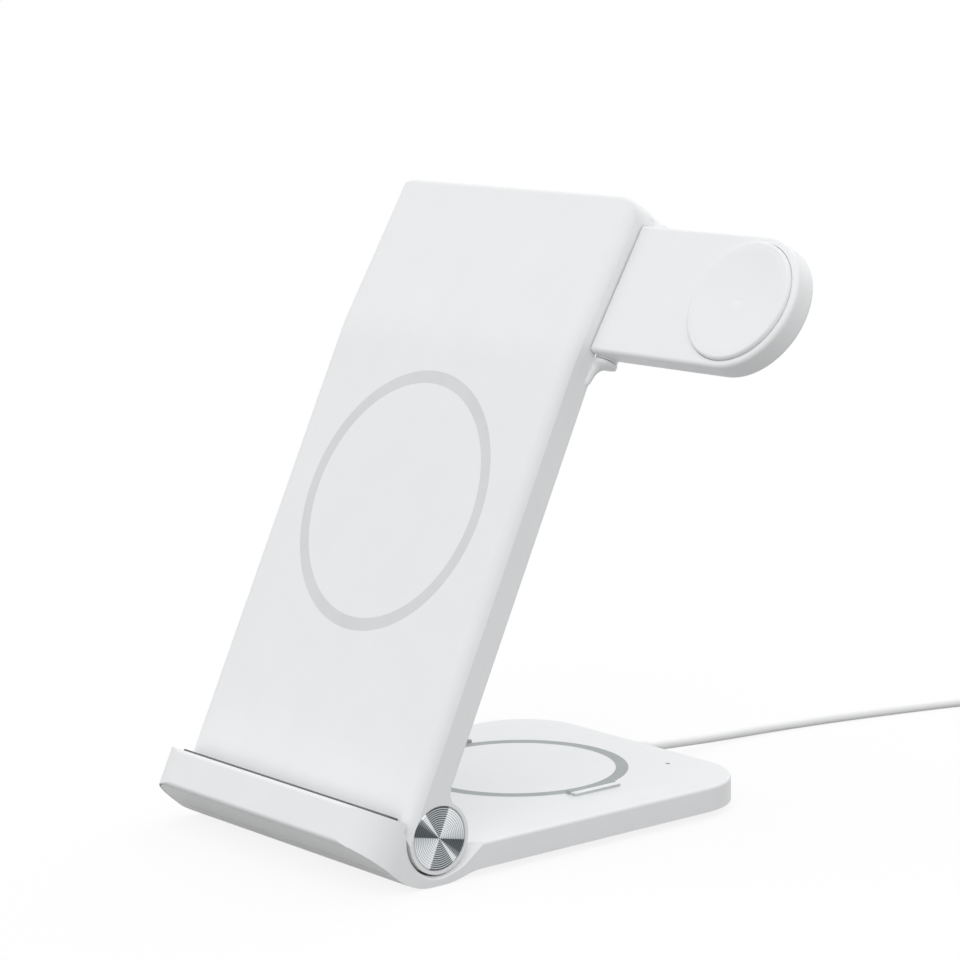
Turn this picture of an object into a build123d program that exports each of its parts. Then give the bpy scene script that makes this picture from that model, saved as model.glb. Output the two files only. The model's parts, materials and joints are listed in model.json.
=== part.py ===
"""Folding three in one wireless charger: a flat base with a pad, a hinged stand and a folding side arm.

Frame: millimetres, +Z up. The origin lies on the underside of the rear foot pad, midway across the
width. +X is the side that the arm unfolds to and -Y is the front, where the ledge is.
"""

import os
from math import acos, asin, atan2, cos, degrees, hypot, pi, radians, sin, tan

from build123d import *

# Overall
WIDTH = 73.0
HALF = WIDTH / 2

# Stand hinge
HINGE_Y = -43.0
HINGE_Z = 9.3
RECLINE = 25.64
FOLD_TURN = 62.5
BARREL_R = 6.95
RUN_GAP = 0.45
BORE_R = BARREL_R + RUN_GAP
BORE_BEVEL = 0.55
FLOW_TURN = 35.0
FLOW_START = 2.0
FLOW_LONG = 9.0
FLOW_WIDE = 1.25
FLOW_DEEP = 3.2
CAP_R = 6.2
CAP_THICK = 1.3
SEAT_FIT = 0.05
SHAFT_R = 2.0
SHAFT_LEN = 19.0
RUN_FIT = 0.03
BRACKET_X = 22.0
BRACKET_WIDE = 6.0
BRACKET_R = 4.3
BRACKET_STEM = 3.6
BRACKET_FLOOR = 1.2

# Base
REAR_Y = 41.0
REAR_CORNER = 15.0
PLATE_TOP = 6.55
PLATE_BOTTOM = 1.45
PLATE_EDGE = 0.65
CRADLE_BOTTOM = 0.12
CRADLE_FLAT_END = -40.0
PLATE_FLAT_START = -34.5
CRADLE_BLEND = 15.0
BASE_WALL = 2.0
BASE_ROOF = 1.4
BASE_COVER = 1.2
BASE_CAVITY_FRONT = -32.0
COVER_FIT = 0.15
FOOT_STRIP_INSET = 6.5
FOOT_STRIP_HALF = HALF - FOOT_STRIP_INSET
FOOT_STRIP_WIDE = 4.5
FOOT_STRIP_FRONT = 3.0
FOOT_STRIP_Y = (HINGE_Y - FOOT_STRIP_FRONT, HINGE_Y - FOOT_STRIP_FRONT + FOOT_STRIP_WIDE)
FOOT_STRIP_CORNER = 1.5
FOOT_STRIP_SUNK = 0.35
FOOT_PAD_INSET = 5.5
FOOT_PAD_HALF = HALF - FOOT_PAD_INSET
FOOT_PAD_LONG = 54.0
FOOT_PAD_REAR = 5.0
FOOT_PAD_Y = (REAR_Y - FOOT_PAD_REAR - FOOT_PAD_LONG, REAR_Y - FOOT_PAD_REAR)
FOOT_PAD_CORNER = 12.0
BOSS_R = 2.4
BOSS_FRONT = (8.5, 6.0)
BOSS_REAR = (11.5, 10.0)
BOSS_SPOTS = [
    (HALF - BOSS_FRONT[0], BASE_CAVITY_FRONT + BOSS_FRONT[1]),
    (BOSS_FRONT[0] - HALF, BASE_CAVITY_FRONT + BOSS_FRONT[1]),
    (HALF - BOSS_REAR[0], REAR_Y - BOSS_REAR[1]),
    (BOSS_REAR[0] - HALF, REAR_Y - BOSS_REAR[1]),
]
SCREW_R = 0.78
SCREW_HEAD_R = 1.6
SCREW_HEAD = 0.6

# Ledge, measured from the hinge axis along and out from the stand
LEDGE_TOP = 0.46
LEDGE_OUT = 16.7
LEDGE_FACE = 7.4
LEDGE_CORNER = 9.0
RAMP_SLOPE = 41.0
RAMP_BLEND = 12.0
STRIP_HALF = 33.8
STRIP_OUT = (8.9, 11.2)
STRIP_PROUD = 0.45
STRIP_SUNK = 0.4
PANEL_INSET = 1.3
PANEL_HALF = HALF - PANEL_INSET
PANEL_TOP = 1.1
PANEL_LOW = 9.4
PANEL_SWEEP = 6.2
PANEL_CORNER = 1.2
PANEL_SUNK = 0.5
PANEL_GROOVE = 0.3

# Pad on the base
PAD_X = -1.6
PAD_Y = 8.0
PAD_RING_OUT = 22.9
PAD_RING_IN = 20.3
INLAY_DEEP = 0.5
RIB_X = 22.9
RIB_LONG = 12.0
RIB_WIDE = 1.8
RIB_HIGH = 0.65
RIB_EDGE = 0.12
LIGHT_X = 17.0
LIGHT_Y = 33.0
LIGHT_R = 0.5

# Stand board
STAND_FRONT = 8.2
STAND_THICK = 7.1
STAND_BACK = STAND_FRONT - STAND_THICK
EDGE_RUN = 3.0
EDGE_DROP = 2.0
EDGE_R = (EDGE_RUN**2 + EDGE_DROP**2) / (2 * EDGE_DROP)
TOP_EDGE = 1.0
BACK_EDGE = 0.35
CHIN_LOW = -1.0
CHIN_ROUND = 3.0
HEEL_ROUND = 2.5
CHIN_TOP = 12.0
BEND_AT = 94.4
BEND_TURN = 5.5
BEND_R = 60.0
UPPER_LONG = 33.5
TOP_CORNER = 4.0
FRONT_WALL = 1.6
STAND_COVER = 1.4
STAND_CAVITY = (14.5, 89.5)
STAND_CAVITY_HALF = 32.0
COVER_LIP = 1.5
STAND_RING_AT = 60.0
STAND_RING_OUT = 27.0
STAND_RING_IN = 24.4

# Arm and its hinge, measured in the stand's bent upper section
PIN_OUT = 1.0
PIN_X = HALF + PIN_OUT
PIN_BACK = -8.25
PIN_R = 1.0
PIN_SEAT = 0.02
PIN_RUN = 0.04
ARM_GAP = 0.3
ARM_LEFT = HALF + ARM_GAP
ARM_LOW = 2.6
ARM_TOP_DROP = 4.1
ARM_HIGH = UPPER_LONG - ARM_TOP_DROP
ARM_FRONT = -4.0
ARM_BACK = -9.0
ARM_EDGE = 0.8
ARM_BACK_EDGE = 0.8
ARM_WALL = 1.4
ARM_ROOF = 2.2
ARM_COVER = 1.2
ARM_ROOT = 5.2
ARM_CAVITY_LEFT = ARM_LEFT + ARM_ROOT
LUG_GAP = 0.55
LUG_LOW_TOP = ARM_LOW - LUG_GAP
LUG_HIGH_LOW = ARM_HIGH + LUG_GAP
LUG_R = 2.4
LUG_REACH = 5.0
LUG_ROOT = HALF - LUG_REACH
LUG_RIM = 0.7
# Sweep of each lug back into the board, as (along, in from the pin, forward of the pin, radius)
LOW_SWEEP = [
    (0.45, 0.4, 0.4, 1.75),
    (0.9, 0.8, 0.8, 1.25),
    (1.7, 1.1, 1.1, 0.95),
    (4.3, 1.35, 1.4, 0.75),
    (7.8, 1.6, 1.6, 0.5),
]
HIGH_SWEEP = [
    (0.5, 0.6, 0.5, 1.8),
    (1.1, 1.5, 1.2, 1.2),
    (1.7, 2.7, 1.9, 0.6),
]
PIN_DEEP_LOW = 1.2
PIN_DEEP_HIGH = 0.9
PIN_LOW = LUG_LOW_TOP - PIN_DEEP_LOW
PIN_HIGH = LUG_HIGH_LOW + PIN_DEEP_HIGH
KNUCKLE_R = 2.2
KNUCKLE_GAP = 0.2
PUCK_REACH = 34.0
PUCK_X = HALF + PUCK_REACH
PUCK_AT = (ARM_LOW + ARM_HIGH) / 2
PUCK_R = 12.0
PUCK_PROUD = 0.8
PUCK_SUNK = 1.2
PUCK_DISH = 0.45
PUCK_FIT = 0.1
PUCK_EYE = 10.0

# Charging coils and boards
COIL_THICK = 1.0
FERRITE_THICK = 0.7
BOARD_THICK = 1.0
COIL_OUT = 20.5
COIL_IN = 9.5
FERRITE_RIM = 0.5
FERRITE_HALF = COIL_OUT + FERRITE_RIM
BASE_BOARD_INSET = 14.5
BASE_BOARD_HALF = HALF - BASE_BOARD_INSET
BASE_BOARD_GAP = 2.0
BASE_BOARD_LONG = 14.0
BASE_BOARD_FRONT = BASE_CAVITY_FRONT + BASE_BOARD_GAP
BASE_BOARD_Y = (BASE_BOARD_FRONT, BASE_BOARD_FRONT + BASE_BOARD_LONG)
COIL_ABOVE = 8.0
COIL_BELOW = 12.0
STAND_COILS = (STAND_RING_AT + COIL_ABOVE, STAND_RING_AT - COIL_BELOW)
STAND_BOARD_INSET = 5.0
STAND_BOARD_HALF = STAND_CAVITY_HALF - STAND_BOARD_INSET
STAND_BOARD_GAP = 0.5
STAND_BOARD_LONG = 9.0
STAND_BOARD_LOW = STAND_CAVITY[0] + STAND_BOARD_GAP
STAND_BOARD = (STAND_BOARD_LOW, STAND_BOARD_LOW + STAND_BOARD_LONG)
PUCK_COIL_R = (9.6, 4.8)
PUCK_COIL_THICK = 1.2
MAGNET_R = 4.2
MAGNET_THICK = 1.8

# Cable
CABLE_R = 1.0
CABLE_X = -4.0
CABLE_Z = 3.75
GROMMET_R = 1.9
GROMMET_TIP_R = 1.45
GROMMET_OUT = 5.0
FLANGE_R = GROMMET_R + 0.7
FLANGE_THICK = 0.9
COIL_MID_R = 11.5
COIL_BAND = 3.0
COIL_HIGH = 8.0
TIE_WIDE = 3.0
TIE_THICK = 0.5
PLUG_LONG = 20.0
PLUG_WIDE = 10.6
PLUG_HIGH = 6.0
SHELL_LONG = 6.65
SHELL_WIDE = 8.3
SHELL_HIGH = 2.56
TAIL_LONG = 23.0
TURN_SHARE = 0.45

STAND = Plane(
    origin=(0, HINGE_Y, HINGE_Z),
    x_dir=(1, 0, 0),
    z_dir=(0, -cos(radians(RECLINE)), sin(radians(RECLINE))),
).location
UPPER_IN_STAND = Pos(0, BEND_AT, STAND_FRONT) * Rot(-BEND_TURN, 0, 0)
UPPER = STAND * UPPER_IN_STAND


def world(along, out):
    """A point of the stand's side view as (y, z) of the base's frame."""
    tilt = radians(RECLINE)
    return (
        HINGE_Y + along * sin(tilt) - out * cos(tilt),
        HINGE_Z + along * cos(tilt) + out * sin(tilt),
    )


def block(x0, x1, y0, y1, z0, z1):
    return Pos((x0 + x1) / 2, (y0 + y1) / 2, (z0 + z1) / 2) * Box(x1 - x0, y1 - y0, z1 - z0)


def slab(outline, z0, z1):
    return extrude(Pos(0, 0, z0) * outline, amount=z1 - z0)


def side_bar(outline, x0, x1):
    """A side view outline, drawn in (y, z), run along X."""
    return extrude(Plane.YZ.offset(x0) * outline, amount=x1 - x0)


def rod_x(radius, x0, x1, y=0.0, z=0.0):
    return Pos((x0 + x1) / 2, y, z) * Cylinder(radius, x1 - x0, rotation=(0, 90, 0))


def rod_y(radius, y0, y1, x=0.0, z=0.0):
    return Pos(x, (y0 + y1) / 2, z) * Cylinder(radius, y1 - y0, rotation=(90, 0, 0))


def rod_z(radius, z0, z1, x=0.0, y=0.0):
    return Pos(x, y, (z0 + z1) / 2) * Cylinder(radius, z1 - z0)


def ring_z(outer, inner, z0, z1, x=0.0, y=0.0):
    return rod_z(outer, z0, z1, x, y) - rod_z(inner, z0 - 1, z1 + 1, x, y)


def plan(x0, x1, y0, y1, corner):
    wide, high = x1 - x0, y1 - y0
    return Pos((x0 + x1) / 2, (y0 + y1) / 2) * RectangleRounded(wide, high, corner)


def vertex_near(shape, x, y):
    return min(shape.vertices(), key=lambda v: hypot(v.X - x, v.Y - y))


def rounded(outline, corners):
    """The outline with each named corner rounded."""
    for x, y, radius in corners:
        outline = fillet(vertex_near(outline, x, y), radius)
    return outline


def prism_s(outline, s0, s1):
    """An outline drawn in (x, -out), run along the stand."""
    at = Plane(origin=(0, s0, 0), x_dir=(1, 0, 0), z_dir=(0, 1, 0))
    return extrude(at * outline, amount=s1 - s0)


def side_slivers(out, run, drop, radius, s0, s1, way):
    """The two slivers that rounding takes off the side corners of a run along the stand.

    The rounding starts a run in from the side and ends a drop below the face. way is +1 for a corner
    that faces out and -1 for one that faces back.
    """
    slivers = []
    for side in (1, -1):
        box = Pos(side * (HALF + (1 - run) / 2), -out + way * (drop - 1) / 2) * Rectangle(run + 1, drop + 1)
        slivers.append(box - Pos(side * (HALF - run), -out + way * radius) * Circle(radius))
    return prism_s(slivers[0], s0, s1) + prism_s(slivers[1], s0, s1)


def polar(turn, reach):
    """A point of the stand's side view, as (along, out), at a turn counted from +Y in the base's frame."""
    return (
        reach * cos(radians(turn - 90 + RECLINE)),
        reach * cos(radians(turn - 180 + RECLINE)),
    )


def route_radii(points):
    """The largest bend that each corner of a cable route takes."""
    radii = []
    for a, b, c in zip(points, points[1:], points[2:]):
        p, q, r = Vector(*a), Vector(*b), Vector(*c)
        before, after = q - p, r - q
        turn = radians(before.get_angle(after))
        radii.append(TURN_SHARE * min(before.length, after.length) / tan(turn / 2))
    return radii


def tube(points):
    """A round cable along a route of straight runs joined by arcs."""
    radii = route_radii(points)
    print("bend radii", [round(r, 1) for r in radii])
    path = FilletPolyline(*points, radius=radii)
    start = Plane(origin=path @ 0, z_dir=path % 0)
    return sweep(start * Circle(CABLE_R), path=path), path.length


parts = {}

# Base shell: plate, hinge trough and ledge in one moulding
chin_turn = atan2(-CHIN_LOW, STAND_FRONT) + acos(BARREL_R / hypot(STAND_FRONT, CHIN_LOW))
wall_out = STAND_FRONT + RUN_GAP + 0.05
wall_along = (wall_out * cos(chin_turn) - BORE_R) / sin(chin_turn)
trough_edge = world(-BORE_R * sin(chin_turn), BORE_R * cos(chin_turn))
ledge_low = world(LEDGE_TOP - LEDGE_FACE, LEDGE_OUT)
ramp_foot = (ledge_low[0] + (ledge_low[1] - CRADLE_BOTTOM) / tan(radians(RAMP_SLOPE)), CRADLE_BOTTOM)
ledge_rim = world(LEDGE_TOP, LEDGE_OUT)
base_points = [
    (REAR_Y, PLATE_BOTTOM),
    (REAR_Y, PLATE_TOP),
    (HINGE_Y + 2, PLATE_TOP),
    trough_edge,
    world(wall_along, wall_out),
    world(LEDGE_TOP, wall_out),
    ledge_rim,
    ledge_low,
    ramp_foot,
    (CRADLE_FLAT_END, CRADLE_BOTTOM),
    (PLATE_FLAT_START, PLATE_BOTTOM),
]
base_side = make_face(Polyline(*base_points, close=True))
base_side = rounded(
    base_side,
    [
        (*ledge_rim, 0.7),
        (*ledge_low, 0.8),
        (*ramp_foot, RAMP_BLEND),
        (CRADLE_FLAT_END, CRADLE_BOTTOM, CRADLE_BLEND),
        (PLATE_FLAT_START, PLATE_BOTTOM, CRADLE_BLEND),
    ],
)
base = side_bar(base_side, -HALF, HALF)
rear_edges = base.edges().filter_by(Axis.Z).filter_by_position(Axis.Y, REAR_Y - 1, REAR_Y + 1)
base = fillet(rear_edges, REAR_CORNER)
top_rim = base.faces().filter_by(Axis.Z).sort_by(Axis.Z)[-1].edges()
top_rim = top_rim.filter_by(lambda e: abs(e.center().X) > HALF - 8 or e.center().Y > REAR_Y - 8)
base = fillet(top_rim, PLATE_EDGE)
ledge_round = (LEDGE_CORNER, LEDGE_CORNER, LEDGE_CORNER)
base -= STAND * side_slivers(LEDGE_OUT, *ledge_round, LEDGE_TOP - 25, LEDGE_TOP + 6, 1)
base -= rod_x(BORE_R, -HALF - 1, HALF + 1, HINGE_Y, HINGE_Z)
for side in (1, -1):
    bevel = Cone(BORE_R, BORE_R + BORE_BEVEL + 0.2, BORE_BEVEL + 0.2, rotation=(0, 90 * side, 0))
    base -= Pos(side * (HALF - BORE_BEVEL / 2 + 0.1), HINGE_Y, HINGE_Z) * bevel

# The rim of the trough widens to the rear and flows up on to the plate's top
lip_drop = HINGE_Z - PLATE_TOP
lip_back = (BORE_R**2 - lip_drop**2) ** 0.5
flow_turn = radians(FLOW_TURN)
flow_in = lip_back * sin(flow_turn) + lip_drop * cos(flow_turn) - 0.1
flow_out = flow_in + (BORE_R + FLOW_WIDE - flow_in) * (1 + 0.2 / FLOW_DEEP)
flow_reach = FLOW_START + FLOW_LONG / 2
flow_at = Pos(HINGE_Y + flow_reach * cos(flow_turn), HINGE_Z + flow_reach * sin(flow_turn))
for side in (1, -1):
    ends = []
    for place, radius in ((HALF - FLOW_DEEP, flow_in), (HALF + 0.2, flow_out)):
        slot = flow_at * SlotCenterToCenter(FLOW_LONG, 2 * radius, FLOW_TURN)
        ends.append(Plane.YZ.offset(side * place) * slot)
    base -= loft(ends, ruled=True)

cavity_half = HALF - BASE_WALL
cavity_rear = REAR_Y - BASE_WALL
cavity_plan = rounded(
    make_face(
        Polyline(
            (-cavity_half, BASE_CAVITY_FRONT),
            (cavity_half, BASE_CAVITY_FRONT),
            (cavity_half, cavity_rear),
            (-cavity_half, cavity_rear),
            close=True,
        )
    ),
    [
        (-cavity_half, BASE_CAVITY_FRONT, 4),
        (cavity_half, BASE_CAVITY_FRONT, 4),
        (cavity_half, cavity_rear, REAR_CORNER - BASE_WALL),
        (-cavity_half, cavity_rear, REAR_CORNER - BASE_WALL),
    ],
)
base_roof = PLATE_TOP - BASE_ROOF
cover_top = PLATE_BOTTOM + BASE_COVER
base -= slab(cavity_plan, -2, base_roof)
for x, y in BOSS_SPOTS:
    base += rod_z(BOSS_R, cover_top, base_roof, x, y)
    base -= rod_z(SCREW_R + PIN_SEAT, cover_top - 1, cover_top + 2, x, y)

strip_top = LEDGE_TOP + STRIP_PROUD
strip_low = LEDGE_TOP - STRIP_SUNK
strip = block(-STRIP_HALF, STRIP_HALF, strip_low, strip_top, *STRIP_OUT)
strip_edge = strip.edges().filter_by(Axis.X).sort_by(Axis.Y)[-2:]
strip_seat = block(-STRIP_HALF, STRIP_HALF, strip_low, strip_top + 1, *STRIP_OUT)
base -= STAND * strip_seat
parts["ledge_grip_strip"] = STAND * fillet(strip_edge, 0.2)

RAMP = Plane(
    origin=(0, *ledge_low),
    x_dir=(1, 0, 0),
    z_dir=(0, -sin(radians(RAMP_SLOPE)), -cos(radians(RAMP_SLOPE))),
).location


def panel_outline(grow):
    """The panel's outline on the ramp, grown evenly, with upper corners that follow the ledge's ends."""
    half, top, low = PANEL_HALF + grow, grow - PANEL_TOP, -PANEL_LOW - grow
    face = make_face(Polyline((-half, low), (half, low), (half, top), (-half, top), close=True))
    sweep_r, corner_r = PANEL_SWEEP + grow, PANEL_CORNER + grow
    return rounded(
        face,
        [(-half, top, sweep_r), (half, top, sweep_r), (-half, low, corner_r), (half, low, corner_r)],
    )


base -= RAMP * slab(panel_outline(PANEL_GROOVE), -PANEL_SUNK, 3)
parts["ledge_under_panel"] = RAMP * slab(panel_outline(0), -PANEL_SUNK, 0)

ring_seat = ring_z(PAD_RING_OUT, PAD_RING_IN, PLATE_TOP - INLAY_DEEP, PLATE_TOP + 1, PAD_X, PAD_Y)
base -= ring_seat
parts["base_pad_ring"] = ring_z(PAD_RING_OUT, PAD_RING_IN, PLATE_TOP - INLAY_DEEP, PLATE_TOP, PAD_X, PAD_Y)

for side in (1, -1):
    spot = PAD_X + side * (RIB_X + RIB_WIDE / 2 + 0.6)
    rib = slab(RectangleRounded(RIB_WIDE, RIB_LONG, 0.4), -0.4, RIB_HIGH)
    rib = fillet(rib.faces().sort_by(Axis.Z)[-1].edges(), RIB_EDGE)
    base += Pos(spot, PAD_Y, PLATE_TOP) * rib

base -= rod_z(LIGHT_R, base_roof - 1, PLATE_TOP + 1, LIGHT_X, LIGHT_Y)
parts["status_light"] = rod_z(LIGHT_R, base_roof, PLATE_TOP, LIGHT_X, LIGHT_Y)
base -= rod_y(GROMMET_R + SEAT_FIT, cavity_rear - 1, REAR_Y + 1, CABLE_X, CABLE_Z)

for side in (1, -1):
    reach = BRACKET_WIDE / 2 + 0.05
    stem = BRACKET_STEM / 2 + 0.05
    at = side * BRACKET_X
    base -= block(at - reach, at + reach, HINGE_Y - stem, HINGE_Y + stem, BRACKET_FLOOR, HINGE_Z)

foot_strip = plan(-FOOT_STRIP_HALF, FOOT_STRIP_HALF, *FOOT_STRIP_Y, FOOT_STRIP_CORNER)
strip_floor = CRADLE_BOTTOM + FOOT_STRIP_SUNK
base -= slab(foot_strip, -1, strip_floor)
parts["base_foot_strip"] = slab(foot_strip, 0, strip_floor)
parts["base_shell"] = base

# Base inside and underside
cover_plan = offset(cavity_plan, -COVER_FIT)
cover = slab(cover_plan, PLATE_BOTTOM, cover_top)
screws = []
for x, y in BOSS_SPOTS:
    cover -= rod_z(SCREW_R + COVER_FIT, PLATE_BOTTOM - 1, cover_top + 1, x, y)
    cover -= rod_z(SCREW_HEAD_R + COVER_FIT, PLATE_BOTTOM - 1, PLATE_BOTTOM + SCREW_HEAD, x, y)
    screw = rod_z(SCREW_HEAD_R, PLATE_BOTTOM, PLATE_BOTTOM + SCREW_HEAD, x, y)
    screws.append(screw + rod_z(SCREW_R, PLATE_BOTTOM, cover_top + 1.8, x, y))
parts["base_bottom_cover"] = cover
parts["base_screws"] = Compound(screws)
foot_pad = plan(-FOOT_PAD_HALF, FOOT_PAD_HALF, *FOOT_PAD_Y, FOOT_PAD_CORNER)
parts["base_foot_pad"] = slab(foot_pad, 0, PLATE_BOTTOM)
parts["base_coil"] = ring_z(COIL_OUT, COIL_IN, base_roof - COIL_THICK, base_roof, PAD_X, PAD_Y)
ferrite_low = base_roof - COIL_THICK - FERRITE_THICK
ferrite_plan = Pos(PAD_X, PAD_Y) * RectangleRounded(2 * FERRITE_HALF, 2 * FERRITE_HALF, 2)
parts["base_ferrite"] = slab(ferrite_plan, ferrite_low, ferrite_low + FERRITE_THICK)
board_plan = plan(-BASE_BOARD_HALF, BASE_BOARD_HALF, *BASE_BOARD_Y, 1)
parts["base_circuit_board"] = slab(board_plan, cover_top, cover_top + BOARD_THICK)

flange_side = (CABLE_X - FLANGE_R - 1, CABLE_X + FLANGE_R + 1)
flange_in = cavity_rear - FLANGE_THICK
flange_room = block(*flange_side, flange_in - 1, cavity_rear + 1, cover_top + 0.05, base_roof - 0.05)
grommet = flange_room & rod_y(FLANGE_R, flange_in, cavity_rear, CABLE_X, CABLE_Z)
grommet += flange_room & rod_y(GROMMET_R, flange_in, cavity_rear + 0.5, CABLE_X, CABLE_Z)
grommet += rod_y(GROMMET_R, cavity_rear, REAR_Y, CABLE_X, CABLE_Z)
grommet += Pos(CABLE_X, REAR_Y + GROMMET_OUT / 2, CABLE_Z) * Cone(
    GROMMET_R, GROMMET_TIP_R, GROMMET_OUT, rotation=(-90, 0, 0)
)
parts["cable_grommet"] = grommet

for side, name in ((1, "right"), (-1, "left")):
    at = side * BRACKET_X
    near, far = at - BRACKET_WIDE / 2, at + BRACKET_WIDE / 2
    bracket = rod_x(BRACKET_R, near, far, HINGE_Y, HINGE_Z)
    stem = (HINGE_Y - BRACKET_STEM / 2, HINGE_Y + BRACKET_STEM / 2)
    bracket += block(near, far, *stem, BRACKET_FLOOR, HINGE_Z)
    bracket -= rod_x(SHAFT_R + RUN_FIT, near - 1, far + 1, HINGE_Y, HINGE_Z)
    parts[f"hinge_bracket_{name}"] = bracket

# Stand shell: board, bend, barrel and lugs in one moulding, drawn in the stand's own frame
chin_foot = (-BARREL_R * sin(chin_turn), BARREL_R * cos(chin_turn))
stand_side = make_face(
    Polyline(
        (0, 0),
        chin_foot,
        (CHIN_LOW, STAND_FRONT),
        (CHIN_TOP, STAND_FRONT),
        (CHIN_TOP, STAND_BACK),
        (0, STAND_BACK),
        close=True,
    )
)
stand_side += Circle(BARREL_R)
heel = (((BARREL_R**2 - STAND_BACK**2) ** 0.5), STAND_BACK)
stand_side = rounded(stand_side, [(CHIN_LOW, STAND_FRONT, CHIN_ROUND), (*heel, HEEL_ROUND)])
stand = side_bar(stand_side, -HALF, HALF)
stand -= side_slivers(STAND_FRONT, EDGE_RUN, EDGE_DROP, EDGE_R, -9, CHIN_TOP + 1, 1)
stand -= side_slivers(STAND_BACK, BACK_EDGE, BACK_EDGE, BACK_EDGE, heel[0] + 2.5, CHIN_TOP + 1, -1)

bend_run = BEND_R * tan(radians(BEND_TURN / 2))
section = make_face(
    Polyline(
        (-HALF, -STAND_BACK),
        (-HALF, EDGE_DROP - STAND_FRONT),
        (EDGE_RUN - HALF, -STAND_FRONT),
        (HALF - EDGE_RUN, -STAND_FRONT),
        (HALF, EDGE_DROP - STAND_FRONT),
        (HALF, -STAND_BACK),
        close=True,
    )
)
for side in (1, -1):
    lens = Pos(side * (HALF - EDGE_RUN), EDGE_R - STAND_FRONT) * Circle(EDGE_R)
    corner = Pos(side * (HALF - EDGE_RUN / 2), EDGE_DROP / 2 - STAND_FRONT) * Rectangle(EDGE_RUN, EDGE_DROP)
    section += lens & corner
section = rounded(section, [(-HALF, -STAND_BACK, BACK_EDGE), (HALF, -STAND_BACK, BACK_EDGE)])
bend_start = BEND_AT - bend_run
stand += prism_s(section, CHIN_TOP, bend_start)
bend_plane = Plane(origin=(0, bend_start, 0), x_dir=(1, 0, 0), z_dir=(0, 1, 0))
bend_axis = Axis((0, bend_start, STAND_FRONT - BEND_R), (1, 0, 0))
stand += revolve(bend_plane * section, axis=bend_axis, revolution_arc=-BEND_TURN)
upper_plan = make_face(
    Polyline((-HALF, bend_run), (HALF, bend_run), (HALF, UPPER_LONG), (-HALF, UPPER_LONG), close=True)
)
upper_plan = rounded(upper_plan, [(-HALF, UPPER_LONG, TOP_CORNER), (HALF, UPPER_LONG, TOP_CORNER)])
upper = slab(upper_plan, -STAND_THICK, 0)
rim = upper.faces().sort_by(Axis.Z)[-1].edges().filter_by(lambda e: e.center().Y > bend_run + 0.5)
upper = fillet(rim, TOP_EDGE)
rim = upper.faces().sort_by(Axis.Z)[0].edges().filter_by(lambda e: e.center().Y > bend_run + 0.5)
upper = fillet(rim, BACK_EDGE)
upper -= side_slivers(0, EDGE_RUN, EDGE_DROP, EDGE_R, bend_run - 1, UPPER_LONG + 1, 1)

groove = Pos(PIN_X, (LUG_LOW_TOP + LUG_HIGH_LOW) / 2, PIN_BACK) * Cylinder(
    KNUCKLE_R + RUN_GAP, LUG_HIGH_LOW - LUG_LOW_TOP, rotation=(90, 0, 0)
)
stand += UPPER_IN_STAND * upper
stand -= UPPER_IN_STAND * groove


def lug(face, way, sweep_steps):
    """A lug that carries the arm's pin: a short round rim that sweeps back into the board's rear corner."""
    rim = face + way * LUG_RIM
    web = make_face(
        Polyline(
            (LUG_ROOT, STAND_THICK - 1.5),
            (LUG_ROOT, STAND_THICK - 0.2),
            (PIN_X - LUG_R * 0.74, LUG_R * 0.67 - PIN_BACK),
            (PIN_X, -PIN_BACK),
            (HALF - 0.2, STAND_THICK - 1.5),
            close=True,
        )
    )
    web += Pos(PIN_X, -PIN_BACK) * Circle(LUG_R)
    rings = [Plane(origin=(PIN_X, rim, PIN_BACK), x_dir=(1, 0, 0), z_dir=(0, 1, 0)) * Circle(LUG_R)]
    for along, inward, forward, radius in sweep_steps:
        spot = (PIN_X - inward, rim + way * along, PIN_BACK + forward)
        rings.append(Plane(origin=spot, x_dir=(1, 0, 0), z_dir=(0, 1, 0)) * Circle(radius))
    return prism_s(web, *sorted((face, rim))) + loft(rings)


stand += UPPER_IN_STAND * lug(LUG_LOW_TOP, -1, LOW_SWEEP)
stand += UPPER_IN_STAND * lug(LUG_HIGH_LOW, 1, HIGH_SWEEP)
stand -= UPPER_IN_STAND * rod_y(PIN_R + PIN_SEAT, PIN_LOW, PIN_HIGH, PIN_X, PIN_BACK)

cavity_low, cavity_high = STAND_CAVITY
stand_cavity = plan(-STAND_CAVITY_HALF, STAND_CAVITY_HALF, cavity_low, cavity_high, 4)
stand_roof = STAND_FRONT - FRONT_WALL
stand_cover_in = STAND_BACK + STAND_COVER
stand -= slab(stand_cavity, STAND_BACK - 1, stand_roof)
stand -= slab(offset(stand_cavity, COVER_LIP + COVER_FIT), STAND_BACK - 1, stand_cover_in)
stand -= ring_z(STAND_RING_OUT, STAND_RING_IN, STAND_FRONT - INLAY_DEEP, STAND_FRONT + 1, 0, STAND_RING_AT)
for side in (1, -1):
    end = side * HALF
    stand -= rod_x(CAP_R + SEAT_FIT, *sorted((end + side, end - side * CAP_THICK)))
    stand -= rod_x(SHAFT_R + PIN_SEAT, *sorted((end, end - side * (CAP_THICK + SHAFT_LEN + 1))))
    slot_x = (side * BRACKET_X - BRACKET_WIDE / 2 - 0.35, side * BRACKET_X + BRACKET_WIDE / 2 + 0.35)
    stand -= rod_x(BRACKET_R + RUN_GAP, *slot_x)
    spread = degrees(asin((BRACKET_STEM / 2 + RUN_GAP) / (BRACKET_R + RUN_GAP))) + 2
    sector = make_face(
        Polyline(
            (0, 0),
            polar(-90 - spread, 9.5),
            polar(-90 + FOLD_TURN / 2, 14),
            polar(-90 + FOLD_TURN + spread, 9.5),
            close=True,
        )
    )
    stand -= side_bar(sector, *slot_x)
parts["stand_shell"] = STAND * stand

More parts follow.
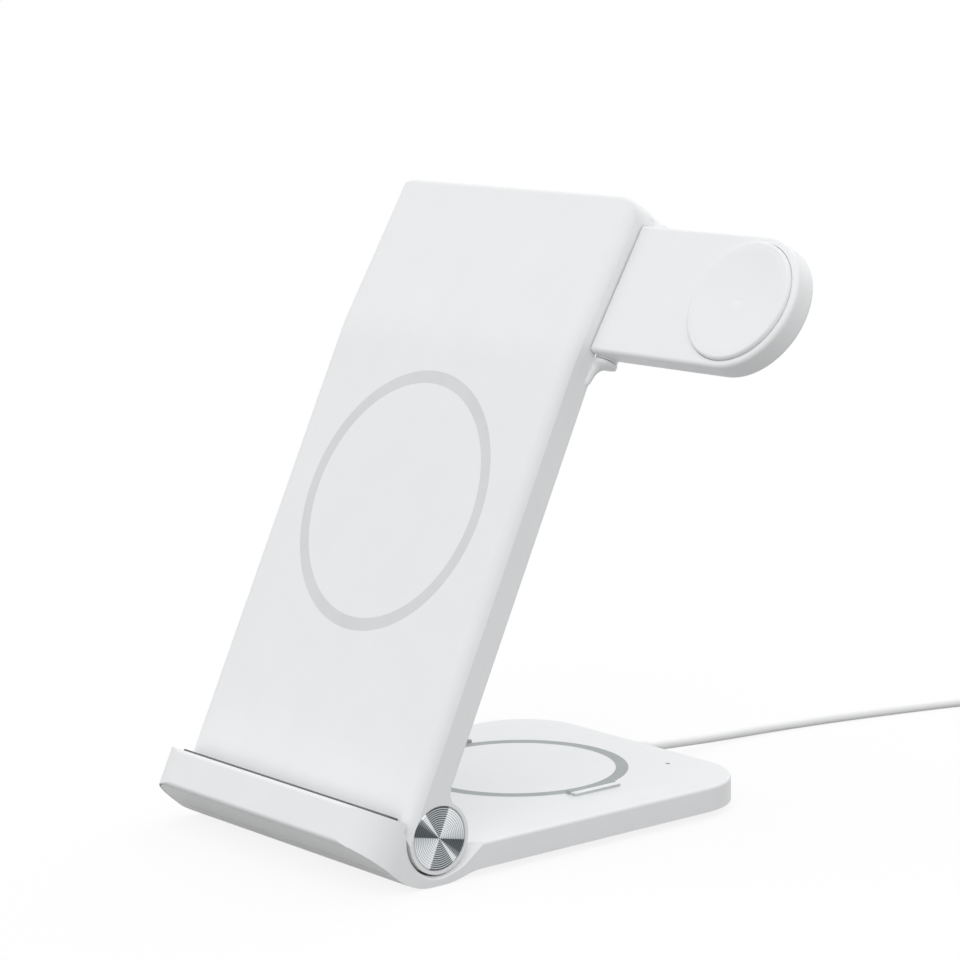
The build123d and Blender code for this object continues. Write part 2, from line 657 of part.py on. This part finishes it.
parts["stand_back_cover"] = STAND * slab(offset(stand_cavity, COVER_LIP), STAND_BACK, stand_cover_in)
parts["stand_front_ring"] = STAND * ring_z(
    STAND_RING_OUT, STAND_RING_IN, STAND_FRONT - INLAY_DEEP, STAND_FRONT, 0, STAND_RING_AT
)
coil_low = stand_roof - COIL_THICK
upper_coil_at, lower_coil_at = STAND_COILS
parts["stand_coil_upper"] = STAND * ring_z(COIL_OUT, COIL_IN, coil_low, stand_roof, 0, upper_coil_at)
ferrite_top = coil_low - COIL_THICK
parts["stand_coil_lower"] = STAND * ring_z(COIL_OUT, COIL_IN, ferrite_top, coil_low, 0, lower_coil_at)
ferrite_plan = plan(
    -FERRITE_HALF, FERRITE_HALF, lower_coil_at - FERRITE_HALF, upper_coil_at + FERRITE_HALF, 2
)
parts["stand_ferrite"] = STAND * slab(ferrite_plan, ferrite_top - FERRITE_THICK, ferrite_top)
board_plan = plan(-STAND_BOARD_HALF, STAND_BOARD_HALF, *STAND_BOARD, 1)
parts["stand_circuit_board"] = STAND * slab(board_plan, stand_cover_in, stand_cover_in + BOARD_THICK)

for side, name in ((1, "right"), (-1, "left")):
    end = side * HALF
    cap = rod_x(CAP_R, *sorted((end, end - side * CAP_THICK)))
    cap_rim = cap.edges().filter_by(GeomType.CIRCLE).sort_by(Axis.X)[-1 if side > 0 else 0]
    parts[f"hinge_cap_{name}"] = STAND * chamfer(cap_rim, 0.25)
    shaft_end = end - side * CAP_THICK
    shaft = rod_x(SHAFT_R, *sorted((shaft_end, shaft_end - side * SHAFT_LEN)))
    parts[f"hinge_shaft_{name}"] = STAND * shaft
parts["arm_hinge_pin"] = UPPER * rod_y(PIN_R, PIN_LOW, PIN_HIGH, PIN_X, PIN_BACK)

# Arm, drawn in the upper section's frame
arm_round = (ARM_HIGH - ARM_LOW) / 2


def tongue(left, inset):
    """The arm's outline, drawn in by an even inset from its free edges."""
    radius = arm_round - inset
    face = Pos((left + PUCK_X) / 2, PUCK_AT) * Rectangle(PUCK_X - left, 2 * radius)
    return face + Pos(PUCK_X, PUCK_AT) * Circle(radius)


arm = slab(tongue(ARM_LEFT, 0), ARM_BACK, ARM_FRONT)
arm_rim = arm.faces().sort_by(Axis.Z)[-1].edges().filter_by(lambda e: e.center().X > ARM_LEFT + 1)
arm = fillet(arm_rim, ARM_EDGE)
arm_rim = arm.faces().sort_by(Axis.Z)[0].edges().filter_by(lambda e: e.center().X > ARM_LEFT + 1)
arm = fillet(arm_rim, ARM_BACK_EDGE)
knuckle_low = LUG_LOW_TOP + KNUCKLE_GAP
knuckle_high = LUG_HIGH_LOW - KNUCKLE_GAP
arm += rod_y(KNUCKLE_R, knuckle_low, knuckle_high, PIN_X, PIN_BACK)
arm -= rod_y(PIN_R + PIN_RUN, knuckle_low - 1, knuckle_high + 1, PIN_X, PIN_BACK)
arm_roof = ARM_FRONT - ARM_ROOF
arm_cover_in = ARM_BACK + ARM_COVER
arm_cavity = tongue(ARM_CAVITY_LEFT, ARM_WALL + 1.2)
arm -= slab(arm_cavity, ARM_BACK - 1, arm_roof)
arm_cover_plan = tongue(ARM_CAVITY_LEFT - 1.2, ARM_WALL + COVER_FIT)
arm -= slab(tongue(ARM_CAVITY_LEFT - 1.2 - COVER_FIT, ARM_WALL), ARM_BACK - 1, arm_cover_in)
puck_seat = ARM_FRONT - PUCK_SUNK
arm -= rod_z(PUCK_R + PUCK_FIT, puck_seat, ARM_FRONT + 1, PUCK_X, PUCK_AT)
arm -= rod_z(PUCK_EYE, arm_roof - 1, puck_seat + 1, PUCK_X, PUCK_AT)
parts["arm_shell"] = UPPER * arm
parts["arm_back_cover"] = UPPER * slab(arm_cover_plan, ARM_BACK, arm_cover_in)
puck_face = ARM_FRONT + PUCK_PROUD
puck = rod_z(PUCK_R, puck_seat, puck_face, PUCK_X, PUCK_AT)
puck = fillet(puck.faces().sort_by(Axis.Z)[-1].edges(), 0.6)
dish_reach = PUCK_R - 1.6
dish_r = (dish_reach**2 + PUCK_DISH**2) / (2 * PUCK_DISH)
puck -= Pos(PUCK_X, PUCK_AT, puck_face - PUCK_DISH + dish_r) * Sphere(dish_r)
parts["arm_puck"] = UPPER * puck
parts["puck_coil"] = UPPER * ring_z(*PUCK_COIL_R, puck_seat - PUCK_COIL_THICK, puck_seat, PUCK_X, PUCK_AT)
parts["puck_magnet"] = UPPER * rod_z(MAGNET_R, puck_seat - MAGNET_THICK, puck_seat, PUCK_X, PUCK_AT)

# Cable, its coiled length and its plug
cable_start = REAR_Y + GROMMET_OUT
cable_route = [
    (CABLE_X, cable_start - 1, CABLE_Z + 0.07),
    (-4.6, 55.0, 2.75),
    (-5.6, 68.0, 1.35),
    (-4.2, 86.0, 1.02),
    (0.0, 106.2, 1.0),
    (6.6, 132.6, 1.0),
    (13.6, 154.0, 1.0),
]
(last_x, last_y, _), (end_x, end_y, _) = cable_route[-2:]
coil_turn = atan2(end_y - last_y, end_x - last_x)
coil_reach = COIL_MID_R + COIL_BAND - CABLE_R
coil_x = end_x + coil_reach * sin(coil_turn)
coil_y = end_y - coil_reach * cos(coil_turn)
coil_out = COIL_MID_R + COIL_BAND
coil_in = COIL_MID_R - COIL_BAND
cable, cable_length = tube(cable_route)
cable -= block(CABLE_X - 3, CABLE_X + 3, REAR_Y, cable_start, 0, PLATE_TOP)
parts["cable"] = cable - rod_z(coil_out, -1, COIL_HIGH + 1, coil_x, coil_y)
coil = ring_z(coil_out, coil_in, 0, COIL_HIGH, coil_x, coil_y)
coil_edges = coil.edges().filter_by(GeomType.CIRCLE)
coil = fillet(coil_edges, 0.9)
tie_half = TIE_THICK / 2
tie_loop = block(
    -TIE_WIDE / 2, TIE_WIDE / 2, coil_in - tie_half, coil_out + tie_half, 0, COIL_HIGH + tie_half
)
tie_hole = block(
    -TIE_WIDE, TIE_WIDE, coil_in + tie_half, coil_out - tie_half, TIE_THICK, COIL_HIGH - tie_half
)
tie_at = Pos(coil_x, coil_y, 0) * Rot(0, 0, -120)
tie = tie_at * (tie_loop - tie_hole)
coil = coil - tie
parts["cable_coil"] = coil
parts["cable_tie"] = tie
tail_y = coil_y + coil_out - CABLE_R
plug_x = coil_x + TAIL_LONG
tail_route = [
    (coil_x, tail_y, COIL_HIGH - CABLE_R),
    (coil_x + 11.0, tail_y + 0.3, COIL_HIGH - CABLE_R - 0.9),
    (plug_x + 1.0, tail_y, PLUG_HIGH / 2 + 0.15),
]
tail, tail_length = tube(tail_route)
tail -= rod_z(coil_out, -1, COIL_HIGH + 1, coil_x, coil_y)
parts["cable_tail"] = tail - block(plug_x, plug_x + 4, tail_y - 3, tail_y + 3, 0, PLUG_HIGH)
plug = block(plug_x, plug_x + PLUG_LONG, tail_y - PLUG_WIDE / 2, tail_y + PLUG_WIDE / 2, 0, PLUG_HIGH)
plug = fillet(plug.edges().filter_by(Axis.X), 2.6)
plug = fillet(plug.faces().sort_by(Axis.X)[0].edges(), 1.0)
parts["plug_overmould"] = plug
shell_plan = RectangleRounded(SHELL_WIDE, SHELL_HIGH, SHELL_HIGH / 2 - 0.02)
shell_plan -= RectangleRounded(SHELL_WIDE - 0.6, SHELL_HIGH - 0.6, SHELL_HIGH / 2 - 0.32)
shell = Pos(plug_x + PLUG_LONG, tail_y, PLUG_HIGH / 2) * extrude(Plane.YZ * shell_plan, amount=SHELL_LONG)
parts["plug_shell"] = shell
turns = (1000 - cable_length - tail_length) / (2 * pi * COIL_MID_R)
print("cable", round(cable_length, 1), "tail", round(tail_length, 1), "turns", round(turns, 2))

os.makedirs("parts", exist_ok=True)
for name, shape in parts.items():
    export_step(shape, f"parts/{name}.step")
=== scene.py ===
"""Looks of the folding wireless charger: finishes, turned hinge caps, pad trim, cable and studio."""

import json
import math

import bpy
from mathutils import Matrix, Vector


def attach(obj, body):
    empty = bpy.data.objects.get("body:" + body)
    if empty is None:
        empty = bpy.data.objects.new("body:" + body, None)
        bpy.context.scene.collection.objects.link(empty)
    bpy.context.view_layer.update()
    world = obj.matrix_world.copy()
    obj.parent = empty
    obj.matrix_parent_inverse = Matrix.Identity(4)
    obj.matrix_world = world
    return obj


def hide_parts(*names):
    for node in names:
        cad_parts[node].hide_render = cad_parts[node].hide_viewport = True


MM = 0.001

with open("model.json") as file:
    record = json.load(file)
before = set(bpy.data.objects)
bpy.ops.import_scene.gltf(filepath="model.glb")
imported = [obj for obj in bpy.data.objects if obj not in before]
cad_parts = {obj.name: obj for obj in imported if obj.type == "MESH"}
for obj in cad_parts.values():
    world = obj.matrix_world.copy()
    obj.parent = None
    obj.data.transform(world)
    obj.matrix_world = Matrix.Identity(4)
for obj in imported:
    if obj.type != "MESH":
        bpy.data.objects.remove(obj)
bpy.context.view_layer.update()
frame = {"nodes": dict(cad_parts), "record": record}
nodes = frame["nodes"]

# Hinge axis as (y, z)
HINGE = (-43.0, 9.3)

# Turned hinge caps: rings cut by the lathe tool from the rim to the middle
CAP_FACE = 36.5
CAP_R = 6.2
CAP_THICK = 1.3
CAP_BEVEL = 0.25
CAP_RIM = 0.1
CAP_RINGS = 14
CAP_PITCH = (CAP_R - CAP_BEVEL - CAP_RIM) / CAP_RINGS
CAP_MIDDLE = 0.01
CAP_STEPS = 160

# One ring's section, as (share of the pitch inwards, depth)
RING_SECTION = [(0.0, 0.0), (0.30, 0.09), (0.62, 0.01)]

# Where a ring's painted tint turns from the crest's painted highlight to the groove's painted shade
RING_PHASE = 0.3
CREST_HIGHLIGHT_END = 0.12
GROOVE_SHADE_START = 0.34

# The caps' painted reflection: bright and dark sectors over half a turn from +Y upwards, as (place, crest,
# groove); the crest tint is a painted highlight and the groove tint painted shade
PAINTED_REFLECTION_FAN = [
    (0.0, "DDE0E2", "A6ABAE"),
    (0.10, "ECEEEF", "B2B7BA"),
    (0.362, "F8F9FA", "C4C9CC"),
    (0.376, "CACED1", "4A4F53"),
    (0.668, "C2C7CA", "454A4E"),
    (0.682, "EDEFF0", "D0D4D6"),
    (0.728, "E9EBEC", "C8CCCF"),
    (0.742, "B6BABD", "686C6F"),
    (0.788, "92969A", "54585B"),
    (0.802, "6C7073", "4A4E51"),
    (0.926, "646A6D", "43474A"),
    (0.942, "CDD1D3", "A0A5A8"),
    (0.999, "DDE0E2", "A6ABAE"),
]

# The part of a noise's range that is spread over a tint or a gloss
NOISE_RANGE = {"From Min": 0.3, "From Max": 0.7}

# Noises as (size in mm, detail, roughness)
CLOUD = (9.0, 3.0, 0.5)
TOOL_MARKS = (0.15, 2.0, 0.5)
PAPER_GRAIN = (0.5, 2.0, 0.5)


def srgb(code):
    """A colour written as sRGB hex, as the linear values that shaders take."""
    parts = [int(code[i : i + 2], 16) / 255 for i in (0, 2, 4)]
    linear = [c / 12.92 if c <= 0.04045 else ((c + 0.055) / 1.055) ** 2.4 for c in parts]
    return (*linear, 1.0)


def feed(tree, node, feeds):
    """Fills a node's sockets: an output is linked, anything else is the socket's value."""
    for socket, source in feeds.items():
        if isinstance(source, bpy.types.NodeSocket):
            tree.links.new(source, node.inputs[socket])
        else:
            node.inputs[socket].default_value = source
    return node


def add(tree, kind, feeds, **settings):
    """A new node with its settings and links."""
    node = tree.nodes.new(kind)
    for key, value in settings.items():
        setattr(node, key, value)
    return feed(tree, node, feeds)


def new_material(name):
    """A node material with its tree and its Principled shader."""
    material = bpy.data.materials.new(name)
    material.use_nodes = True
    return material, material.node_tree, material.node_tree.nodes["Principled BSDF"]


def noises(tree, *kinds):
    """The values of some noises, fixed to the object."""
    place = add(tree, "ShaderNodeTexCoord", {}).outputs["Object"]
    values = []
    for size_mm, detail, roughness in kinds:
        sockets = {"Vector": place, "Scale": 1 / (size_mm * MM), "Detail": detail, "Roughness": roughness}
        values.append(add(tree, "ShaderNodeTexNoise", sockets).outputs["Fac"])
    return values


def surfaced(name, low, high, roughness, swing, patch_noise, grain_noise, depth_mm, strength, metallic):
    """A material whose colour and gloss vary in patches, with a fine grain in its surface."""
    material, tree, body = new_material(name)
    patches, grain = noises(tree, patch_noise, grain_noise)
    share = add(tree, "ShaderNodeMapRange", {**NOISE_RANGE, "Value": patches, "To Min": 0, "To Max": 1})
    tint = {"A": srgb(low), "B": srgb(high), "Factor": share.outputs["Result"]}
    colour = add(tree, "ShaderNodeMix", tint, data_type="RGBA")
    ends = {"To Min": roughness - swing, "To Max": roughness + swing}
    gloss = add(tree, "ShaderNodeMapRange", {**NOISE_RANGE, **ends, "Value": patches})
    relief = {"Strength": strength, "Distance": depth_mm * MM, "Height": grain}
    sockets = {
        "Base Color": colour.outputs["Result"],
        "Roughness": gloss.outputs["Result"],
        "Metallic": metallic,
        "Normal": add(tree, "ShaderNodeBump", relief).outputs["Normal"],
    }
    feed(tree, body, sockets)
    return material


def moulded(name, low, high, roughness, grain_mm, depth_mm):
    """Moulded plastic or rubber: the grain of a spark-eroded tool spreads the light to a soft sheen.

    The real grain is some hundredths of a millimetre wide and is drawn coarser, so that it shows.
    """
    grain = (grain_mm, 2.0, 0.6)
    return surfaced(name, low, high, roughness, 0.04, CLOUD, grain, depth_mm, 0.6, 0.0)


def worked_metal(name, low, high, roughness, grain_mm):
    """Drawn or plated metal: its fine, slightly uneven surface blurs what it mirrors."""
    grain = (grain_mm, 4.0, 0.7)
    return surfaced(name, low, high, roughness, 0.06, grain, grain, 0.004, 0.5, 1.0)


def turned_metal():
    """Aluminium turned on a lathe: rings of tool lines, with the light they would catch painted into the
    colour as a fan of bright and dark sectors, lighter crests and darker grooves.
    """
    material, tree, body = new_material("turned_aluminium")
    place = add(tree, "ShaderNodeTexCoord", {}).outputs["Object"]
    split = add(tree, "ShaderNodeSeparateXYZ", {"Vector": place})
    values = {"y": split.outputs["Y"], "z": split.outputs["Z"]}
    # Angle round the hinge axis picks the painted reflection sector, distance from it the ring line
    for name, operation, *terms in (
        ("across", "ADD", "y", -HINGE[0] * MM),
        ("upward", "ADD", "z", -HINGE[1] * MM),
        ("turn", "ARCTAN2", "upward", "across"),
        ("half_turns", "DIVIDE", "turn", math.pi),
        ("fan", "WRAP", "half_turns", 1.0, 0.0),
        ("across_squared", "POWER", "across", 2.0),
        ("upward_squared", "POWER", "upward", 2.0),
        ("reach_squared", "ADD", "across_squared", "upward_squared"),
        ("reach", "SQRT", "reach_squared"),
        ("rings", "DIVIDE", "reach", CAP_PITCH * MM),
        ("shifted", "ADD", "rings", RING_PHASE),
        ("line", "PINGPONG", "shifted", 0.5),
    ):
        sockets = {index: values.get(term, term) for index, term in enumerate(terms)}
        values[name] = add(tree, "ShaderNodeMath", sockets, operation=operation).outputs["Value"]
    # Lighter crest tint is a painted highlight, darker groove tint painted shade
    sockets = {"Value": values["line"], "From Min": CREST_HIGHLIGHT_END, "From Max": GROOVE_SHADE_START}
    pick = add(tree, "ShaderNodeMapRange", sockets, interpolation_type="SMOOTHSTEP")
    tints = {"Factor": pick.outputs["Result"]}
    for column, socket in ((1, "A"), (2, "B")):
        ramp = add(tree, "ShaderNodeValToRGB", {"Fac": values["fan"]})
        marks = ramp.color_ramp.elements
        for row in PAINTED_REFLECTION_FAN:
            mark = marks[0] if row[0] == 0 else marks.new(row[0])
            mark.color = srgb(row[column])
        marks.remove(marks[-1])
        tints[socket] = ramp.outputs["Color"]
    (tool,) = noises(tree, TOOL_MARKS)
    gloss = add(tree, "ShaderNodeMapRange", {**NOISE_RANGE, "Value": tool, "To Min": 0.20, "To Max": 0.30})
    sockets = {
        "Base Color": add(tree, "ShaderNodeMix", tints, data_type="RGBA").outputs["Result"],
        "Roughness": gloss.outputs["Result"],
        "Metallic": 1.0,
        "Anisotropic": 0.7,
        "Tangent": add(tree, "ShaderNodeTangent", {}, direction_type="RADIAL", axis="X").outputs["Tangent"],
    }
    feed(tree, body, sockets)
    return material


FINISHES = {
    # Casings: even, matt white
    "white_plastic": moulded("white_abs_plastic", "F2F3F4", "F4F5F6", 0.46, 0.22, 0.008),
    # Pad ring, ledge grip and feet: rubber that shows almost no highlight
    "grey_silicone": moulded("grey_silicone", "A6ABAD", "ADB2B4", 0.62, 0.18, 0.010),
    "dark_silicone": moulded("dark_grey_silicone", "5C6063", "676B6E", 0.66, 0.18, 0.010),
    "foot_silicone": moulded("pale_grey_silicone", "BCC0C2", "C6CACC", 0.64, 0.18, 0.010),
    # Cable and its tie: a little glossier than the casings
    "cable_jacket": moulded("white_tpe_jacket", "F8F9F9", "FBFBFC", 0.50, 0.20, 0.006),
    "tie_plastic": moulded("white_nylon", "E4E5E6", "EBECED", 0.42, 0.25, 0.006),
    # Status light, switched off: a small grey dot
    "light_pipe": moulded("smoked_light_pipe", "6A6E71", "777B7E", 0.30, 0.30, 0.004),
    # Inside parts
    "circuit_board": moulded("green_solder_mask", "1E5A36", "246A40", 0.35, 0.60, 0.012),
    "ferrite": moulded("sintered_ferrite", "2A2B2D", "38393B", 0.55, 0.10, 0.012),
    "copper_wire": worked_metal("enamelled_copper", "9A5A32", "B87044", 0.38, 0.25),
    # Hinge caps, pins and screws, and the plug's shell
    # Turned metal: its reflection is painted into its colour as sectors and ring lines round the hinge axis
    "turned_metal": turned_metal(),
    "steel": worked_metal("plain_steel", "A8ABAD", "BCBFC1", 0.36, 0.30),
    "plug_metal": worked_metal("nickel_plated_steel", "BEC0C2", "CDCFD0", 0.26, 0.40),
}
for part in frame["record"]["subparts"]:
    mesh = nodes[part["node"]].data
    mesh.materials.clear()
    mesh.materials.append(FINISHES[part["material_slot"]])

# The stand's ring is paler than the pad's, close to the casing
front_ring = moulded("pale_silicone", "DADCDE", "E0E2E3", 0.62, 0.18, 0.010)
nodes["stand_front_ring"].data.materials[0] = front_ring


def solid(name, points, faces, body, finish):
    """A modelled piece that rides on a body."""
    mesh = bpy.data.meshes.new(name)
    mesh.from_pydata([tuple(c * MM for c in p) for p in points], [], faces)
    mesh.materials.append(FINISHES[finish])
    piece = bpy.data.objects.new(name, mesh)
    bpy.context.scene.collection.objects.link(piece)
    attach(piece, body)
    return piece


def turned_cap(name, side):
    """A hinge cap: its section, from the rim to the middle, turned about the hinge axis."""
    section = [(CAP_R, CAP_THICK), (CAP_R, CAP_BEVEL), (CAP_R - CAP_BEVEL, 0.0)]
    for ring in range(CAP_RINGS):
        outer = CAP_PITCH * (CAP_RINGS - ring)
        section += [(outer - CAP_PITCH * share, depth) for share, depth in RING_SECTION]
    points = [(side * (CAP_FACE - CAP_THICK), *HINGE)]
    for step in range(CAP_STEPS):
        turn = 2 * math.pi * step / CAP_STEPS
        for reach, depth in section:
            y = HINGE[0] + reach * math.cos(turn)
            z = HINGE[1] + reach * math.sin(turn)
            points.append((side * (CAP_FACE - depth), y, z))
    points.append((side * (CAP_FACE - CAP_MIDDLE), *HINGE))
    rows = len(section)
    faces = []
    for step in range(CAP_STEPS):
        here = 1 + step * rows
        there = 1 + (step + 1) % CAP_STEPS * rows
        strip = [(0, there, here)]
        for row in range(rows - 1):
            strip.append((here + row, there + row, there + row + 1, here + row + 1))
        strip.append((here + rows - 1, there + rows - 1, len(points) - 1))
        faces += strip if side > 0 else [face[::-1] for face in strip]
    cap = solid(f"turned_cap_{name}", points, faces, "stand", "turned_metal")
    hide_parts(f"hinge_cap_{name}")


turned_cap("right", 1)
turned_cap("left", -1)

# Trim of the pad: a raised silicone tab from the ring on to each rib, and a thin pale grey band round each
# rib's outer side, which is painted shade on that side
PAD_AT = (-1.6, 8.0)
PAD_TOP = 6.55
RING_R = 22.95
RIB_IN = 23.5
RIB_OUT = 25.3
RIB_HALF = 6.0
RIB_CORNER = 0.4
TAB_OVER = 0.5
TAB_HALF = 5.9
TAB_HIGH = 0.67
TAB_STEPS = 16
SHADE_BAND_HIGH = 0.52
SHADE_BAND_THICK = 0.04
BAND_STEPS = 6


def sheet(name, outline, high, finish):
    """A piece on the plate's top: an outline, anticlockwise from above, raised to a height."""
    count = len(outline)
    points = [(x, y, z) for z in (PAD_TOP, PAD_TOP + high) for x, y in outline]
    faces = [tuple(range(count))[::-1], tuple(range(count, 2 * count))]
    for near in range(count):
        far = (near + 1) % count
        faces.append((near, far, count + far, count + near))
    solid(name, points, faces, "base", finish)


def rib_path(out):
    """The rib's outline from its front end round the outer side to its rear end, moved out."""
    path = [(RIB_IN + RIB_CORNER, -RIB_HALF - out)]
    across = RIB_OUT - RIB_CORNER
    reach = RIB_CORNER + out
    for start, along in ((-90, RIB_CORNER - RIB_HALF), (0, RIB_HALF - RIB_CORNER)):
        for step in range(BAND_STEPS + 1):
            turn = math.radians(start + 90 * step / BAND_STEPS)
            path.append((across + reach * math.cos(turn), along + reach * math.sin(turn)))
    return path + [(RIB_IN + RIB_CORNER, RIB_HALF + out)]


def pad_trim(name, side):
    """The tab and the painted-shade band on one side of the pad."""
    tab = [(RIB_IN + TAB_OVER, -TAB_HALF), (RIB_IN + TAB_OVER, TAB_HALF)]
    for step in range(TAB_STEPS + 1):
        along = TAB_HALF * (1 - 2 * step / TAB_STEPS)
        tab.append((math.sqrt(RING_R**2 - along**2), along))
    band = rib_path(SHADE_BAND_THICK) + rib_path(0)[::-1]
    for kind, outline, high, finish in (
        ("pad_web", tab, TAB_HIGH, "grey_silicone"),
        # A thin pale grey skin over the rib's outer side: painted shade of that side face
        ("rib_side_shade", band, SHADE_BAND_HIGH, "foot_silicone"),
    ):
        placed = [(PAD_AT[0] + side * x, PAD_AT[1] + y) for x, y in outline]
        sheet(f"{kind}_{name}", placed[::side], high, finish)


pad_trim("right", 1)
pad_trim("left", -1)

# Cable: the route that shows, the coiled spare length and the tail to the plug
CABLE_R = 1.0
ROUTE = [
    (-4.0, 46.0, 3.75),
    (-5.3, 55.5, 2.75),
    (-7.1, 69.3, 1.35),
    (-5.8, 87.4, 1.02),
    (-1.6, 107.6, 1.0),
    (5.6, 133.4, 1.0),
]
TAIL = [(26.43, 163.30, 7.0), (37.4, 163.6, 6.1), (50.4, 163.3, 3.15)]

# The coil's turns, as (radius, height); the curve runs a little inside its points
COIL_TURNS = [
    (13.5, 1.0),
    (11.5, 1.0),
    (9.5, 1.0),
    (9.5, 3.0),
    (11.5, 3.0),
    (13.5, 3.0),
    (13.5, 5.0),
    (11.5, 5.0),
    (9.5, 5.0),
    (9.5, 7.0),
    (11.5, 7.0),
    (13.5, 7.0),
    (13.5, 7.0),
]
COIL_AT = (26.43, 149.80)
COIL_START = 162.0
COIL_POINTS = 14
COIL_PULL = 0.975
COIL_COUNT = 12 * COIL_POINTS + 3

# The parts of a turn in which the cable climbs and in which it changes its radius
CLIMB = (0.36, 0.64)
SHIFT = (0.68, 0.96)


def step_between(low, high, share, start, end):
    """low before start, high after end and an even rise between them."""
    return low + (high - low) * min(max((share - start) / (end - start), 0), 1)


coil = []
for count in range(COIL_COUNT):
    lap, share = divmod(count / COIL_POINTS, 1)
    radius, height = COIL_TURNS[int(lap)]
    next_radius, next_height = COIL_TURNS[min(int(lap) + 1, len(COIL_TURNS) - 1)]
    height = step_between(height, next_height, share, *CLIMB)
    reach = step_between(radius, next_radius, share, *SHIFT) / COIL_PULL
    turn = math.radians(COIL_START - 360 * count / COIL_POINTS)
    coil.append((COIL_AT[0] + reach * math.cos(turn), COIL_AT[1] + reach * math.sin(turn), height))

line = bpy.data.curves.new("cable_line", "CURVE")
line.dimensions = "3D"
line.bevel_depth = CABLE_R * MM
line.bevel_resolution = 4
line.use_fill_caps = True
spline = line.splines.new("NURBS")
cable_points = ROUTE + coil + TAIL
spline.points.add(len(cable_points) - 1)
for spot, place in zip(spline.points, cable_points):
    spot.co = (*(c * MM for c in place), 1)
spline.order_u = 3
spline.use_endpoint_u = True
spline.resolution_u = 6
line.materials.append(FINISHES["cable_jacket"])
cord = bpy.data.objects.new("cable_line", line)
bpy.context.scene.collection.objects.link(cord)
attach(cord, "base")
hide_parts("cable", "cable_tail", "cable_coil")

# Camera
CAMERA_AT = (497.88, -408.35, 178.10)
CAMERA_AZIMUTH = 50.795
CAMERA_PITCH = 9.708
CAMERA_ROLL = -0.808
CAMERA_LENS = 121.613
CAMERA_SENSOR = 36

az, el, roll = (math.radians(a) for a in (CAMERA_AZIMUTH, CAMERA_PITCH, CAMERA_ROLL))
forward = Vector((-math.sin(az) * math.cos(el), math.cos(az) * math.cos(el), -math.sin(el)))
level = Vector((math.cos(az), math.sin(az), 0))
above = level.cross(forward)
right = level * math.cos(roll) + above * math.sin(roll)
above = above * math.cos(roll) - level * math.sin(roll)
lens = bpy.data.cameras.new("camera")
lens.lens = CAMERA_LENS
lens.sensor_width = CAMERA_SENSOR
lens.clip_start = 0.01
lens.clip_end = 20
camera = bpy.data.objects.new("camera", lens)
bpy.context.scene.collection.objects.link(camera)
turn = Matrix((right, above, -forward)).transposed()
camera.matrix_world = Matrix.Translation(Vector(CAMERA_AT) * MM) @ turn.to_4x4()
bpy.context.scene.camera = camera

# Studio: an even pale sky, three soft lamps and a white floor that keeps the shadow
SKY_LEVEL = 0.775
LAMP_SOFT = 45

# Lamps as (direction from the object, level)
LAMPS = {
    "front_left": ((-0.50, -0.55, 0.67), 0.28),
    "front_right": ((0.45, -0.45, 0.77), 0.56),
    "back": ((-0.15, 0.80, 0.58), 0.40),
}
FLOOR_HALF = 6.0
FLOOR_GLOW = 0.86
WHITE = (1, 1, 1, 1)


def seen_rays(tree):
    """1 for the rays that carry the backdrop into the picture: seen, mirrored or through glass."""
    rays = add(tree, "ShaderNodeLightPath", {}).outputs
    total = rays["Is Camera Ray"]
    for name in ("Is Glossy Ray", "Is Transmission Ray"):
        sockets = {0: total, 1: rays[name]}
        total = add(tree, "ShaderNodeMath", sockets, operation="MAXIMUM").outputs["Value"]
    return total


# The sky lights the object; what is seen of it is plain white
world = bpy.data.worlds.new("studio")
bpy.context.scene.world = world
world.use_nodes = True
tree = world.node_tree
sky = feed(tree, tree.nodes["Background"], {"Color": WHITE, "Strength": SKY_LEVEL})
backdrop = add(tree, "ShaderNodeBackground", {"Color": WHITE, "Strength": 1.0})
sockets = {"Fac": seen_rays(tree), 1: sky.outputs["Background"], 2: backdrop.outputs["Background"]}
blend = add(tree, "ShaderNodeMixShader", sockets)
feed(tree, tree.nodes["World Output"], {"Surface": blend.outputs["Shader"]})

for name, (source, strength) in LAMPS.items():
    lamp = bpy.data.lights.new(name, "SUN")
    lamp.energy = strength
    lamp.angle = math.radians(LAMP_SOFT)
    place = bpy.data.objects.new(name, lamp)
    place.rotation_mode = "QUATERNION"
    place.rotation_quaternion = (-Vector(source)).to_track_quat("-Z", "Y")
    bpy.context.scene.collection.objects.link(place)

floor_mesh = bpy.data.meshes.new("floor")
corners = [(-1, -1), (1, -1), (1, 1), (-1, 1)]
floor_mesh.from_pydata([(x * FLOOR_HALF, y * FLOOR_HALF, 0) for x, y in corners], [], [(0, 1, 2, 3)])
floor = bpy.data.objects.new("floor", floor_mesh)
bpy.context.scene.collection.objects.link(floor)

# White paper, matt: seen rays get its shaded surface with a white glow, other rays a dimmer paper
material, tree, body = new_material("white_paper")
(grain,) = noises(tree, PAPER_GRAIN)
relief = add(tree, "ShaderNodeBump", {"Strength": 0.3, "Distance": 0.004 * MM, "Height": grain})
feed(tree, body, {"Base Color": srgb("FAFAFA"), "Roughness": 0.9, "Normal": relief.outputs["Normal"]})
glow = add(tree, "ShaderNodeEmission", {"Strength": 1.0})
sockets = {"Fac": FLOOR_GLOW, 1: body.outputs["BSDF"], 2: glow.outputs["Emission"]}
seen = add(tree, "ShaderNodeMixShader", sockets)
dim = add(tree, "ShaderNodeBsdfDiffuse", {"Color": srgb("A4A4A4")})
sockets = {"Fac": seen_rays(tree), 1: dim.outputs["BSDF"], 2: seen.outputs["Shader"]}
blend = add(tree, "ShaderNodeMixShader", sockets)
feed(tree, tree.nodes["Material Output"], {"Surface": blend.outputs["Shader"]})
floor_mesh.materials.append(material)

bpy.context.scene.view_settings.view_transform = "Standard"
